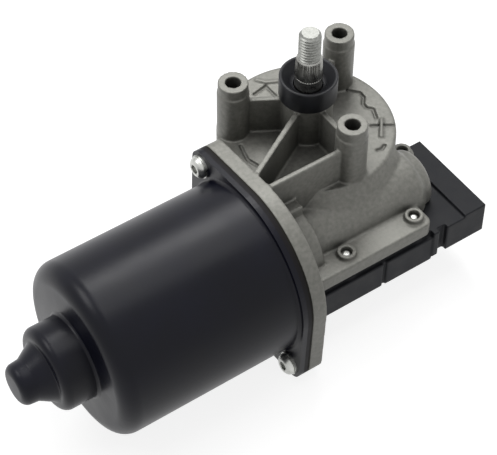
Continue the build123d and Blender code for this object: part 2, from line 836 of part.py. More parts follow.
with BuildPart() as brush_carrier:
    # rim clamped between gasket and can
    with BuildSketch(cross_plane(can_mouth_x)):
        flange_outline()
    extrude(amount=carrier_rim_t)
    # plate inside the mouth of the can
    with BuildSketch(cross_plane(can_mouth_x)):
        Circle(carrier_plate_r)
    extrude(amount=carrier_plate_back - can_mouth_x)
    with BuildSketch(cross_plane(carrier_plate_back)):
        Circle(carrier_bore_r)
        with Locations((0, window_z - motor_z)):
            RectangleRounded(window_w, window_h, window_corner)
    extrude(amount=can_flange_t + carrier_rim_t, mode=Mode.SUBTRACT)
    with BuildSketch(cross_plane(can_mouth_x)):
        with Locations(*ear_points):
            Circle(flange_hole_d / 2)
    extrude(amount=carrier_rim_t, mode=Mode.SUBTRACT)
brush_carrier.part.label = "brush_carrier"
export_step(brush_carrier.part, "parts/brush_carrier.step")

with BuildPart() as flange_washers:
    with BuildSketch(cross_plane(carrier_plate_back)):
        with Locations(*ear_points):
            Circle(flange_washer_r)
            Circle(flange_screw_d / 2 + head_room, mode=Mode.SUBTRACT)
    extrude(amount=-flange_washer_t)
flange_washers.part.label = "flange_washers"
export_step(flange_washers.part, "parts/flange_washers.step")

with BuildPart() as flange_screws:
    head_x = carrier_plate_back - flange_washer_t
    with BuildSketch(cross_plane(head_x)):
        with Locations(*ear_points):
            Circle(flange_head_r)
    extrude(amount=-flange_head_h)
    with BuildSketch(cross_plane(head_x)):
        with Locations(*ear_points):
            Circle(flange_screw_d / 2)
    extrude(amount=flange_face_x - head_x)
    with BuildSketch(cross_plane(head_x - flange_head_h)):
        with Locations(*ear_points):
            RegularPolygon(flange_recess_r, 6)
    extrude(amount=flange_recess_depth, mode=Mode.SUBTRACT)
flange_screws.part.label = "flange_screws"
export_step(flange_screws.part, "parts/flange_screws.step")


# ================================================================ brush gear
brush_face_r = comm_r + brush_air
brush_back_r = comm_r + brush_len
box_start_r = comm_r + box_start
box_end_r = can_in_r - box_room
box_half = brush_w / 2 + brush_gap + box_wall
box_x = carrier_plate_back - box_half


def radial_plane(angle, r, x):
    """Plane across the radial direction at the given angle round the motor axis."""
    a = radians(angle)
    middle = (x, motor_y + r * cos(a), motor_z + r * sin(a))
    return Plane(origin=middle, x_dir=(1, 0, 0), z_dir=(0, cos(a), sin(a)))


with BuildPart() as brush_boxes:
    # folded brass guides with a slit for the pigtail
    for angle in brush_angles.values():
        with BuildSketch(radial_plane(angle, box_start_r, box_x)):
            Rectangle(2 * box_half, 2 * box_half)
        extrude(amount=box_end_r - box_start_r)
        with BuildSketch(radial_plane(angle, box_start_r, box_x)):
            Rectangle(brush_w + 2 * brush_gap, brush_w + 2 * brush_gap)
        extrude(amount=box_end_r - box_start_r - box_wall, mode=Mode.SUBTRACT)
        with BuildSketch(radial_plane(angle, box_start_r + box_slit_end, box_x - box_half)):
            Rectangle(3 * box_wall, box_slit_w)
        extrude(amount=box_end_r - box_start_r - 2 * box_slit_end, mode=Mode.SUBTRACT)
brush_boxes.part.label = "brush_boxes"
export_step(brush_boxes.part, "parts/brush_boxes.step")

for node, angle in brush_angles.items():
    with BuildPart() as brush:
        with BuildSketch(radial_plane(angle, comm_r - box_wall, box_x)):
            Rectangle(brush_w, brush_w)
        extrude(amount=brush_len + box_wall)
        with BuildSketch(cross_plane(box_x - brush_w)):
            Circle(brush_face_r)
        extrude(amount=2 * brush_w, mode=Mode.SUBTRACT)
    brush.part.label = node
    export_step(brush.part, "parts/" + node + ".step")

    with BuildPart() as spring:
        spring_start = brush_back_r + spring_wire_r + run_gap
        spring_len = box_end_r - box_wall - spring_wire_r - run_gap - spring_start
        seat = radial_plane(angle, spring_start, box_x)
        turn = spring_len / spring_turns
        with BuildLine() as coil:
            Helix(turn, spring_len, spring_coil_r, center=seat.origin, direction=seat.z_dir)
        with BuildSketch(Plane(origin=coil.line @ 0, z_dir=coil.line % 0)):
            Circle(spring_wire_r)
        sweep(path=coil.line, is_frenet=True)
    spring.part.label = node.replace("brush", "spring")
    export_step(spring.part, "parts/" + spring.part.label + ".step")

with BuildPart() as suppression_chokes:
    # ferrite rods wound with wire, laid flat on the carrier
    for angle in choke_angles:
        a = radians(angle)
        choke_at = (
            carrier_plate_back - choke_coil_r - slip_gap,
            motor_y + choke_at_r * cos(a) + choke_rod_len / 2 * sin(a),
            motor_z + choke_at_r * sin(a) - choke_rod_len / 2 * cos(a),
        )
        rod = Plane(origin=choke_at, x_dir=(1, 0, 0), z_dir=(0, -sin(a), cos(a)))
        with BuildSketch(rod):
            Circle(choke_rod_r)
        extrude(amount=choke_rod_len)
        with BuildSketch(rod.offset((choke_rod_len - choke_coil_len) / 2)):
            Circle(choke_coil_r)
        extrude(amount=choke_coil_len)
suppression_chokes.part.label = "suppression_chokes"
export_step(suppression_chokes.part, "parts/suppression_chokes.step")

with BuildPart() as suppression_capacitor:
    with BuildSketch(cross_plane(carrier_plate_back)):
        with PolarLocations(capacitor_at_r, 1, start_angle=capacitor_angle):
            RectangleRounded(capacitor_size[0], capacitor_size[1], capacitor_corner)
    extrude(amount=-capacitor_size[2])
suppression_capacitor.part.label = "suppression_capacitor"
export_step(suppression_capacitor.part, "parts/suppression_capacitor.step")

with BuildPart() as thermal_cutout:
    with BuildSketch(cross_plane(carrier_plate_back)):
        with PolarLocations(cutout_at_r, 1, start_angle=cutout_angle):
            RectangleRounded(cutout_size[0], cutout_size[1], cutout_corner)
    extrude(amount=-cutout_size[2])
thermal_cutout.part.label = "thermal_cutout"
export_step(thermal_cutout.part, "parts/thermal_cutout.step")

with BuildPart() as brush_leads:
    # three insulated leads from the brush gear to the lead plate
    with BuildSketch(Plane.YZ.offset(carrier_plate_back)):
        with Locations((motor_y, lead_plate_top + lead_r + run_gap)):
            with GridLocations(lead_pitch, 1, len(brush_angles), 1):
                Circle(lead_r)
    extrude(amount=lead_landing - plate_half_w - carrier_plate_back)
brush_leads.part.label = "brush_leads"
export_step(brush_leads.part, "parts/brush_leads.step")


# ================================================================ field magnets
magnet_front = can_mouth_x - magnet_setback

with BuildPart() as field_magnets:
    with BuildSketch(cross_plane(magnet_front)):
        for middle in (90, 270):
            with BuildLine():
                outer_arc = CenterArc((0, 0), magnet_out_r, middle - magnet_arc / 2, magnet_arc)
                inner_arc = CenterArc((0, 0), magnet_in_r, middle - magnet_arc / 2, magnet_arc)
                Line(outer_arc @ 0, inner_arc @ 0)
                Line(outer_arc @ 1, inner_arc @ 1)
            make_face()
    extrude(amount=-magnet_len)
field_magnets.part.label = "field_magnets"
export_step(field_magnets.part, "parts/field_magnets.step")

with BuildPart() as magnet_clips:
    # springy channels that hold the magnets apart
    gap_arc = 180 - magnet_arc - clip_set_in
    with BuildSketch(cross_plane(magnet_front - clip_set_in)):
        for middle in (0, 180):
            with BuildLine():
                outer_arc = CenterArc((0, 0), magnet_out_r, middle - gap_arc / 2, gap_arc)
                inner_arc = CenterArc((0, 0), magnet_out_r - clip_t, middle - gap_arc / 2, gap_arc)
                Line(outer_arc @ 0, inner_arc @ 0)
                Line(outer_arc @ 1, inner_arc @ 1)
            make_face()
        for side in (-1, 1):
            with PolarLocations(magnet_out_r - clip_flange / 2, 2, start_angle=side * (gap_arc / 2 - 1)):
                Rectangle(clip_flange, clip_t)
    extrude(amount=2 * clip_set_in - magnet_len)
magnet_clips.part.label = "magnet_clips"
export_step(magnet_clips.part, "parts/magnet_clips.step")


# ================================================================ armature
worm_root_r = worm_pitch_r - tooth_dedendum
worm_half = worm_turns * tooth_pitch / 2
crest_half = tooth_pitch / 4 - backlash
buried = tooth_dedendum + slip_gap
shaft_rear_x = nub_end_x + can_wall + rear_pad_t + end_play
shaft_front_x = end_bush_x + end_bush_len - end_play
core_front = magnet_front - core_setback
comm_front = can_mouth_x - comm_setback

with BuildPart() as armature_shaft:
    with BuildSketch(axial_plane):
        with BuildLine():
            Polyline(
                (shaft_rear_x, 0),
                (shaft_rear_x, armature_shaft_r - shaft_chamfer),
                (shaft_rear_x + shaft_chamfer, armature_shaft_r),
                (worm_root_r - armature_shaft_r - worm_root_half, armature_shaft_r),
                (-worm_root_half, worm_root_r),
                (worm_root_half, worm_root_r),
                (worm_root_half + end_journal_r - worm_root_r, end_journal_r),
                (shaft_front_x - shaft_chamfer, end_journal_r),
                (shaft_front_x, end_journal_r - shaft_chamfer),
                (shaft_front_x, 0),
                close=True,
            )
        make_face()
    revolve(axis=motor_axis)
    # right-handed worm thread, a crest facing the gear at its middle
    thread_x = tooth_pitch / 4 - worm_half
    with BuildLine() as worm_path:
        Helix(
            pitch=tooth_pitch,
            height=2 * worm_half,
            radius=worm_root_r,
            center=(thread_x, motor_y, motor_z),
            direction=(1, 0, 0),
        )
    thread_start = (thread_x, motor_y, motor_z + worm_pitch_r)
    with BuildSketch(Plane(origin=thread_start, x_dir=(0, 0, 1), z_dir=(0, 1, 0))):
        with BuildLine():
            Polyline(
                (-buried, -crest_half - buried * slope),
                (tooth_addendum, -crest_half + tooth_addendum * slope),
                (tooth_addendum, crest_half - tooth_addendum * slope),
                (-buried, crest_half + buried * slope),
                close=True,
            )
        make_face()
    sweep(path=worm_path.line, is_frenet=True)
armature_shaft.part.label = "armature_shaft"
export_step(armature_shaft.part, "parts/armature_shaft.step")


def armature_slot(clearance=0.0):
    """Pear-shaped winding slot of the armature core."""
    with Locations((slot_top_at, 0)):
        Circle(slot_top_r - clearance)
    with Locations((slot_foot_at, 0)):
        Circle(slot_foot_r - clearance)
    make_hull()


with BuildPart() as armature_core:
    with BuildSketch(cross_plane(core_front)):
        Circle(core_r)
        Circle(armature_shaft_r + fit_gap, mode=Mode.SUBTRACT)
        with BuildSketch(mode=Mode.PRIVATE) as slot:
            armature_slot()
            with Locations((core_r, 0)):
                Rectangle(2 * (core_r - slot_top_at), slot_mouth)
        with PolarLocations(0, core_slots):
            add(slot.sketch, mode=Mode.SUBTRACT)
    extrude(amount=-core_len)
armature_core.part.label = "armature_core"
export_step(armature_core.part, "parts/armature_core.step")

with BuildPart() as armature_windings:
    # end turns at both ends, joined through the slots
    with BuildSketch(axial_plane):
        overhang = slip_gap + winding_len / 2
        for middle in (core_front + overhang, core_front - core_len - overhang):
            with Locations((middle, winding_at_r)):
                RectangleRounded(winding_len, winding_h, winding_corner)
    revolve(axis=motor_axis)
    with BuildSketch(cross_plane(core_front + overhang)):
        with BuildSketch(mode=Mode.PRIVATE) as bar:
            armature_slot(slip_gap)
        with PolarLocations(0, core_slots):
            add(bar.sketch)
    extrude(amount=-core_len - 2 * overhang)
armature_windings.part.label = "armature_windings"
export_step(armature_windings.part, "parts/armature_windings.step")

with BuildPart() as commutator_hub:
    with BuildSketch(cross_plane(comm_front)):
        Circle(comm_hub_r)
        Circle(armature_shaft_r + fit_gap, mode=Mode.SUBTRACT)
    extrude(amount=-comm_len - riser_t)
commutator_hub.part.label = "commutator_hub"
export_step(commutator_hub.part, "parts/commutator_hub.step")

with BuildPart() as commutator_segments:
    with BuildSketch(cross_plane(comm_front - comm_end)):
        Circle(comm_r)
    extrude(amount=comm_end - comm_len)
    with BuildSketch(cross_plane(comm_front - comm_len)):
        Circle(riser_r)
    extrude(amount=-riser_t)
    with BuildSketch(cross_plane(comm_front)):
        Circle(comm_hub_r + fit_gap)
        with PolarLocations(riser_r, core_slots):
            Rectangle(2 * riser_r, bar_gap)
    extrude(amount=-comm_len - riser_t, mode=Mode.SUBTRACT)
commutator_segments.part.label = "commutator_segments"
export_step(commutator_segments.part, "parts/commutator_segments.step")


# ================================================================ armature bearings
bearing_x = flange_x + ball_bearing_w / 2
rear_bearing_x = boss_end_x + rear_bearing_set_in
retainer_x = rear_bearing_x + retainer_at


def bearing_ring(inner_r, outer_r):
    """Section of one ring of the ball bearing with its raceway."""
    with Locations((bearing_x, (inner_r + outer_r) / 2)):
        Rectangle(ball_bearing_w, outer_r - inner_r)
    with Locations((bearing_x, race_r)):
        Circle(ball_r + race_gap, mode=Mode.SUBTRACT)


with BuildPart() as front_bearing_outer_ring:
    with BuildSketch(axial_plane):
        bearing_ring(race_r + ring_half, ball_bearing_r - fit_gap)
    revolve(axis=motor_axis)
front_bearing_outer_ring.part.label = "front_bearing_outer_ring"
export_step(front_bearing_outer_ring.part, "parts/front_bearing_outer_ring.step")

with BuildPart() as front_bearing_inner_ring:
    with BuildSketch(axial_plane):
        bearing_ring(armature_shaft_r + fit_gap, race_r - ring_half)
    revolve(axis=motor_axis)
front_bearing_inner_ring.part.label = "front_bearing_inner_ring"
export_step(front_bearing_inner_ring.part, "parts/front_bearing_inner_ring.step")

with BuildPart() as front_bearing_balls:
    with Locations(cross_plane(bearing_x)):
        with PolarLocations(race_r, ball_count):
            Sphere(ball_r)
front_bearing_balls.part.label = "front_bearing_balls"
export_step(front_bearing_balls.part, "parts/front_bearing_balls.step")

with BuildPart() as worm_end_bush:
    with BuildSketch(cross_plane(end_bush_x)):
        Circle(end_bush_r - fit_gap)
        Circle(end_journal_r + run_gap, mode=Mode.SUBTRACT)
    extrude(amount=end_bush_len)
worm_end_bush.part.label = "worm_end_bush"
export_step(worm_end_bush.part, "parts/worm_end_bush.step")

with BuildPart() as worm_thrust_pad:
    with BuildSketch(cross_plane(end_bush_x + end_bush_len)):
        Circle(end_bush_r - fit_gap)
    extrude(amount=thrust_pad_t)
worm_thrust_pad.part.label = "worm_thrust_pad"
export_step(worm_thrust_pad.part, "parts/worm_thrust_pad.step")

with BuildPart() as rear_bearing:
    # self-aligning bush, a ball cut flat at both ends
    with Locations((rear_bearing_x, motor_y, motor_z)):
        Sphere(rear_ball_r)
    with BuildSketch(cross_plane(rear_bearing_x - rear_bearing_half)):
        Circle(rear_ball_r)
        Circle(armature_shaft_r + run_gap, mode=Mode.SUBTRACT)
    extrude(amount=2 * rear_bearing_half, mode=Mode.INTERSECT)
rear_bearing.part.label = "rear_bearing"
export_step(rear_bearing.part, "parts/rear_bearing.step")

with BuildPart() as rear_bearing_retainer:
    with BuildSketch(cross_plane(retainer_x)):
        Circle(boss_r - can_wall - fit_gap)
    extrude(amount=retainer_depth)
    with BuildSketch(cross_plane(retainer_x + retainer_t)):
        Circle(boss_r - can_wall - retainer_t)
    extrude(amount=retainer_depth - retainer_t, mode=Mode.SUBTRACT)
    with BuildSketch(cross_plane(retainer_x)):
        Circle(sqrt(rear_ball_r**2 - retainer_at**2) + run_gap)
    extrude(amount=retainer_t, mode=Mode.SUBTRACT)
rear_bearing_retainer.part.label = "rear_bearing_retainer"
export_step(rear_bearing_retainer.part, "parts/rear_bearing_retainer.step")

with BuildPart() as rear_thrust_pad:
    with BuildSketch(cross_plane(nub_end_x + can_wall)):
        Circle(rear_pad_r)
    extrude(amount=rear_pad_t)
rear_thrust_pad.part.label = "rear_thrust_pad"
export_step(rear_thrust_pad.part, "parts/rear_thrust_pad.step")


# ================================================================ output shaft and wheel
clip_z = hub_top + washer_t + washer_gap
upper_bush_bottom = hub_top - o_ring_room - upper_bush_len

with BuildPart() as output_shaft:
    thread_base = spindle_top - thread_len
    shaft_bottom = motor_z - shaft_tail
    with BuildSketch(shaft_plane):
        with BuildLine():
            Polyline(
                (0, shaft_bottom),
                (shaft_r - shaft_chamfer, shaft_bottom),
                (shaft_r, shaft_bottom + shaft_chamfer),
                (shaft_r, clip_z - fit_gap),
                (shaft_r - clip_groove, clip_z - fit_gap),
                (shaft_r - clip_groove, clip_z + clip_thick + fit_gap),
                (shaft_r, clip_z + clip_thick + fit_gap),
                (shaft_r, taper_base_z - shaft_chamfer),
                (taper_base_d / 2, taper_base_z),
                (taper_top_d / 2, thread_base),
                (thread_d / 2, thread_base),
                (thread_d / 2, spindle_top - thread_chamfer),
                (thread_d / 2 - thread_chamfer, spindle_top),
                (0, spindle_top),
                close=True,
            )
        make_face()
    revolve(axis=Axis.Z)
output_shaft.part.label = "output_shaft"
export_step(output_shaft.part, "parts/output_shaft.step")

with BuildPart() as worm_wheel:
    # rim, web and hub
    with BuildSketch(shaft_plane):
        with Locations((wheel_r - wheel_rim_t / 2, motor_z)):
            Rectangle(wheel_rim_t, wheel_face)
        with Locations((wheel_r / 2, motor_z)):
            Rectangle(wheel_r - wheel_rim_t, wheel_web_t)
        with Locations((wheel_hub_r / 2, (wheel_bottom + wheel_hub_top) / 2)):
            Rectangle(wheel_hub_r, wheel_hub_top - wheel_bottom)
        with Locations((0, motor_z)):
            Rectangle(2 * (shaft_r + fit_gap), 2 * wheel_face, mode=Mode.SUBTRACT)
    revolve(axis=Axis.Z)
    with BuildSketch(Plane.XY.offset(wheel_bottom + rib_set_in)):
        with PolarLocations((wheel_hub_r + wheel_r - wheel_rim_t) / 2, wheel_ribs):
            Rectangle(wheel_r - wheel_rim_t - wheel_hub_r + 2 * rib_set_in, wheel_rib_t)
    extrude(amount=wheel_face - 2 * rib_set_in)
    # slanted tooth spaces round the rim
    gap_half = (tooth_pitch / 4 + backlash) * cos(radians(lead_angle))
    run = wheel_face
    sin_lead = sin(radians(lead_angle))
    cos_lead = cos(radians(lead_angle))
    cutter_plane = Plane(
        origin=(-run * sin_lead, -wheel_pitch_r, motor_z - run * cos_lead),
        x_dir=(cos_lead, 0, -sin_lead),
        z_dir=(sin_lead, 0, cos_lead),
    )
    outside = 2 * tooth_addendum
    with BuildSketch(cutter_plane):
        with BuildLine():
            Polyline(
                (-gap_half - outside * slope, -outside),
                (gap_half + outside * slope, -outside),
                (gap_half - tooth_dedendum * slope, tooth_dedendum),
                (-gap_half + tooth_dedendum * slope, tooth_dedendum),
                close=True,
            )
        make_face()
    space = extrude(amount=2 * run, mode=Mode.PRIVATE)
    with PolarLocations(0, wheel_teeth):
        add(space, mode=Mode.SUBTRACT)
worm_wheel.part.label = "worm_wheel"
export_step(worm_wheel.part, "parts/worm_wheel.step")

with BuildPart() as contact_disc:
    # parking disc with a cut-out in its outer track
    with BuildSketch(Plane.XY.offset(wheel_bottom)):
        Circle(contact_disc_r)
        Circle(shaft_r + fit_gap, mode=Mode.SUBTRACT)
        with PolarLocations(contact_disc_r, 1, start_angle=parking_angle):
            Rectangle(parking_cut, parking_cut_w, mode=Mode.SUBTRACT)
    extrude(amount=-contact_disc_t)
contact_disc.part.label = "contact_disc"
export_step(contact_disc.part, "parts/contact_disc.step")

with BuildPart() as retaining_clip:
    with BuildSketch(Plane.XY.offset(clip_z)):
        Circle(clip_r)
        Circle(shaft_r - clip_groove + fit_gap, mode=Mode.SUBTRACT)
        with Locations((clip_r, 0)):
            Rectangle(clip_r, clip_mouth, mode=Mode.SUBTRACT)
    extrude(amount=clip_thick)
retaining_clip.part.label = "retaining_clip"
export_step(retaining_clip.part, "parts/retaining_clip.step")

with BuildPart() as thrust_washers:
    with BuildSketch(Plane.XY.offset(wheel_hub_top)):
        Circle(lower_washer_r)
        Circle(shaft_r + run_gap, mode=Mode.SUBTRACT)
    extrude(amount=washer_t)
    with BuildSketch(Plane.XY.offset(hub_top)):
        Circle(upper_washer_r)
        Circle(shaft_r + run_gap, mode=Mode.SUBTRACT)
    extrude(amount=washer_t)
thrust_washers.part.label = "thrust_washers"
export_step(thrust_washers.part, "parts/thrust_washers.step")

bush_bottoms = {
    "upper_output_bush": (upper_bush_bottom, upper_bush_len),
    "lower_output_bush": (inner_boss_bottom, lower_bush_len),
}
for node, (bottom, length) in bush_bottoms.items():
    with BuildPart() as bush:
        with BuildSketch(Plane.XY.offset(bottom)):
            Circle(bush_r - fit_gap)
            Circle(shaft_r + run_gap, mode=Mode.SUBTRACT)
        extrude(amount=length)
    bush.part.label = node
    export_step(bush.part, "parts/" + node + ".step")

with BuildPart() as shaft_o_ring:
    with BuildSketch(shaft_plane):
        with Locations(((shaft_r + bush_r) / 2, hub_top - o_ring_room / 2)):
            Circle((bush_r - shaft_r) / 2 - run_gap)
    revolve(axis=Axis.Z)
shaft_o_ring.part.label = "shaft_o_ring"
export_step(shaft_o_ring.part, "parts/shaft_o_ring.step")

with BuildPart() as seal_cap:
    # rubber cap on the hub, dished towards the shaft
    with BuildSketch(shaft_plane):
        with BuildLine():
            Polyline(
                (cap_seat_r, hub_top),
                (cap_r, hub_top),
                (cap_r, cap_top),
                (cap_r - cap_rim_t, cap_top),
                (cap_r - cap_rim_t - cap_rim_slope, cap_top - cap_rim_depth),
                (shaft_r + slip_gap, cap_lip_z),
                (shaft_r + slip_gap, cap_lip_z - cap_lip_t),
                (cap_seat_r, cap_lip_z - cap_lip_t),
                close=True,
            )
        make_face()
    revolve(axis=Axis.Z)
seal_cap.part.label = "seal_cap"
export_step(seal_cap.part, "parts/seal_cap.step")

with BuildPart() as parking_contacts:
    # three spring fingers from the lead plate to the parking disc
    contact_z = wheel_bottom - contact_disc_t - slip_gap
    for tip_x, finger_y in finger_tips:
        with BuildSketch(Plane.XZ.offset(-finger_y)):
            with BuildLine():
                finger = Polyline(
                    (tip_x + finger_rise + finger_foot, lead_plate_top + finger_t / 2),
                    (tip_x + finger_rise, lead_plate_top + finger_t / 2),
                    (tip_x, contact_z - finger_t / 2),
                    (tip_x - finger_hook, contact_z - finger_hook),
                )
            trace(finger, line_width=finger_t)
        extrude(amount=finger_half_w, both=True)
parking_contacts.part.label = "parking_contacts"
export_step(parking_contacts.part, "parts/parking_contacts.step")
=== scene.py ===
import json
import math

import bmesh
import bpy
from mathutils import Matrix, Vector


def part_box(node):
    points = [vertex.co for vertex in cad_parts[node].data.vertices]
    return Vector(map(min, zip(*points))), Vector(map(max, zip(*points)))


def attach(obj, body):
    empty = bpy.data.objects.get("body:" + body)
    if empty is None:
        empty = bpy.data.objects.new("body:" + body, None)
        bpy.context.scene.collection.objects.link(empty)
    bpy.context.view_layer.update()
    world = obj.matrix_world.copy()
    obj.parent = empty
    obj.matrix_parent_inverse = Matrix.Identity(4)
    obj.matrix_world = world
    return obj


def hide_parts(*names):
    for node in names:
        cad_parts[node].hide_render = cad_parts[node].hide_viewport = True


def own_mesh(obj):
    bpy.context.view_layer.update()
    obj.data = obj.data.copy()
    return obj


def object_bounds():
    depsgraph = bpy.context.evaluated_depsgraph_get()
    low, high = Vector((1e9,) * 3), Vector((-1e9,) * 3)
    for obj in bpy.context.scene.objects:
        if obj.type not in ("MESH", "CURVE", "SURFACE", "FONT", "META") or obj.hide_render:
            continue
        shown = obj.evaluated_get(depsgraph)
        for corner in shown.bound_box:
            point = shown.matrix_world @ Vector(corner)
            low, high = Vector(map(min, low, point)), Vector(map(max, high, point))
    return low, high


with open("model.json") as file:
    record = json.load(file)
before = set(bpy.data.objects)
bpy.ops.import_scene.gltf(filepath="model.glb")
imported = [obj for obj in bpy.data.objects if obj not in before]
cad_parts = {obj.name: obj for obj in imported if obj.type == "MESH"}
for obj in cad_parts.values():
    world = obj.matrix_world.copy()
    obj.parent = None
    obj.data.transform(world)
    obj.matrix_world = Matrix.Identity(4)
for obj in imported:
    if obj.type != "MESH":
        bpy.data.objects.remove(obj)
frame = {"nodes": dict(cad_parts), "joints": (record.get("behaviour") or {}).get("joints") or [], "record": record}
cad_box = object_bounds()

# ---------------------------------------------------------------- motor can
# Deep-drawn steel shell with a stepped end and a flange with two ears.
# Dip-painted satin black, so the paint lies a little thicker in the corners.
mm = 0.001
weld = 0.002 * mm


def tone(red, green, blue):
    """A display colour, 0 to 255 in each channel, as the linear colour that a shader takes."""
    linear = []
    for value in (red, green, blue):
        part = value / 255
        linear.append(part / 12.92 if part <= 0.04045 else ((part + 0.055) / 1.055) ** 2.4)
    return (*linear, 1.0)


def finish_of(name, dark, light, grain, rough, metallic=0.0, bump=0.0, bump_grain=None, specular=0.5):
    """A finish that drifts between two colours and two roughnesses, with a fine relief."""
    mat = bpy.data.materials.new(name)
    mat.use_nodes = True
    nodes, links = mat.node_tree.nodes, mat.node_tree.links
    shader = nodes["Principled BSDF"]
    shader.inputs["Metallic"].default_value = metallic
    shader.inputs["Specular IOR Level"].default_value = specular
    place = nodes.new("ShaderNodeTexCoord")
    drift = nodes.new("ShaderNodeTexNoise")
    drift.inputs["Scale"].default_value = grain
    drift.inputs["Detail"].default_value = 5.0
    links.new(place.outputs["Object"], drift.inputs["Vector"])
    ramp = nodes.new("ShaderNodeValToRGB")
    ramp.color_ramp.elements[0].position = 0.32
    ramp.color_ramp.elements[1].position = 0.68
    ramp.color_ramp.elements[0].color = dark
    ramp.color_ramp.elements[1].color = light
    links.new(drift.outputs["Fac"], ramp.inputs["Fac"])
    links.new(ramp.outputs["Color"], shader.inputs["Base Color"])
    spread = nodes.new("ShaderNodeMapRange")
    spread.inputs["From Min"].default_value = 0.3
    spread.inputs["From Max"].default_value = 0.7
    spread.inputs["To Min"].default_value = rough[0]
    spread.inputs["To Max"].default_value = rough[1]
    links.new(drift.outputs["Fac"], spread.inputs["Value"])
    links.new(spread.outputs["Result"], shader.inputs["Roughness"])
    if bump:
        fine = nodes.new("ShaderNodeTexNoise")
        fine.inputs["Scale"].default_value = bump_grain
        fine.inputs["Detail"].default_value = 3.0
        links.new(place.outputs["Object"], fine.inputs["Vector"])
        relief = nodes.new("ShaderNodeBump")
        relief.inputs["Strength"].default_value = bump
        relief.inputs["Distance"].default_value = 0.1 * mm
        links.new(fine.outputs["Fac"], relief.inputs["Height"])
        links.new(relief.outputs["Normal"], shader.inputs["Normal"])
    return mat


def body_holding(node):
    """Name of the moving body that a CAD node belongs to."""
    for body, members in frame["record"]["behaviour"]["bodies"].items():
        if node in members:
            return body


def merged_copy(node, name):
    """A new object with a CAD node's surface, its loose triangles joined."""
    bm = bmesh.new()
    bm.from_mesh(frame["nodes"][node].data)
    bmesh.ops.remove_doubles(bm, verts=bm.verts, dist=weld)
    mesh = bpy.data.meshes.new(name)
    bm.to_mesh(mesh)
    bm.free()
    piece = bpy.data.objects.new(name, mesh)
    bpy.context.collection.objects.link(piece)
    return piece


def stands_for(piece, node, mat):
    """Shows a piece in a CAD node's place, in its finish and on its body."""
    piece.data.materials.append(mat)
    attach(piece, body_holding(node))
    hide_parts(node)


def dress(node, mat, crease=30):
    """A merged copy of a CAD node, smooth except at real edges, shown in the node's place."""
    piece = merged_copy(node, node + "_dressed")
    piece.data.shade_smooth()
    piece.data.set_sharp_from_angle(angle=math.radians(crease))
    stands_for(piece, node, mat)
    return piece


can_paint = finish_of(
    "satin black paint", tone(7, 8, 19), tone(11, 12, 25), grain=55, rough=(0.29, 0.37),
    bump=0.12, bump_grain=900, specular=0.2,
)
dress("motor_can", can_paint)

# ---------------------------------------------------------------- field magnets and clips
# Two sintered ferrite arcs inside the can, ground on the faces that pass the armature.
# Springy steel channels between them press them against the can's wall.
ferrite = finish_of(
    "ground ferrite", tone(48, 48, 50), tone(66, 66, 68), grain=220, rough=(0.5, 0.62),
    bump=0.3, bump_grain=1500,
)
spring_steel = finish_of(
    "spring steel", tone(120, 118, 112), tone(150, 148, 142), grain=160, rough=(0.3, 0.42), metallic=1.0,
)


def paint(node, mat):
    """Gives a CAD node its finish and leaves its mesh alone."""
    frame["nodes"][node].data.materials.clear()
    frame["nodes"][node].data.materials.append(mat)


paint("field_magnets", ferrite)
paint("magnet_clips", spring_steel)

# ---------------------------------------------------------------- rear bearing
# A bronze bush, round outside so that it lines itself up, sits in the cone of the can's end.
# A pressed steel cup holds it there and a plastic pad takes the shaft's thrust.
sintered_bronze = finish_of(
    "sintered bronze", tone(140, 100, 58), tone(172, 126, 74), grain=700, rough=(0.42, 0.55), metallic=0.9,
)
clear_acetal = finish_of(
    "natural acetal", tone(214, 210, 198), tone(232, 229, 220), grain=90, rough=(0.38, 0.48),
)
paint("rear_bearing", sintered_bronze)
paint("rear_bearing_retainer", spring_steel)
paint("rear_thrust_pad", clear_acetal)

# ---------------------------------------------------------------- armature
# Stacked steel laminations on a ground shaft with a rolled worm, wound with enamelled wire.
# The commutator's copper bars stand on a moulded hub.
ground_steel = finish_of(
    "ground steel", tone(150, 150, 148), tone(186, 186, 184), grain=300, rough=(0.2, 0.3), metallic=1.0,
)
laminations = finish_of(
    "steel laminations", tone(92, 92, 92), tone(120, 120, 118), grain=900, rough=(0.4, 0.55), metallic=0.9,
)
enamelled_wire = finish_of(
    "enamelled wire", tone(120, 52, 24), tone(176, 86, 40), grain=800, rough=(0.28, 0.4), metallic=0.6,
)
bar_copper = finish_of(
    "turned copper", tone(190, 110, 74), tone(214, 134, 94), grain=420, rough=(0.24, 0.34), metallic=1.0,
)
phenolic = finish_of(
    "phenolic moulding", tone(58, 34, 22), tone(84, 50, 32), grain=500, rough=(0.45, 0.6),
)
paint("armature_shaft", ground_steel)
paint("armature_core", laminations)
paint("armature_windings", enamelled_wire)
paint("commutator_segments", bar_copper)
paint("commutator_hub", phenolic)

# ---------------------------------------------------------------- brush gear
# A moulded carrier clamped under the can's flange holds brass boxes, chokes and a capacitor.
# Each carbon brush slides in its box, with a coil spring behind it.
carrier_plastic = finish_of(
    "moulded carrier", tone(20, 18, 20), tone(28, 26, 28), grain=260, rough=(0.5, 0.62), specular=0.15,
)
sheet_brass = finish_of(
    "sheet brass", tone(176, 140, 70), tone(206, 170, 96), grain=260, rough=(0.26, 0.4), metallic=1.0,
)
carbon = finish_of(
    "pressed carbon", tone(34, 34, 36), tone(52, 52, 54), grain=900, rough=(0.5, 0.66),
    bump=0.3, bump_grain=1800,
)
insulation = finish_of(
    "lead insulation", tone(20, 20, 22), tone(34, 34, 36), grain=300, rough=(0.4, 0.55),
)
paint("brush_carrier", carrier_plastic)
paint("brush_boxes", sheet_brass)
paint("suppression_chokes", enamelled_wire)
paint("suppression_capacitor", phenolic)
paint("thermal_cutout", spring_steel)
paint("brush_leads", insulation)
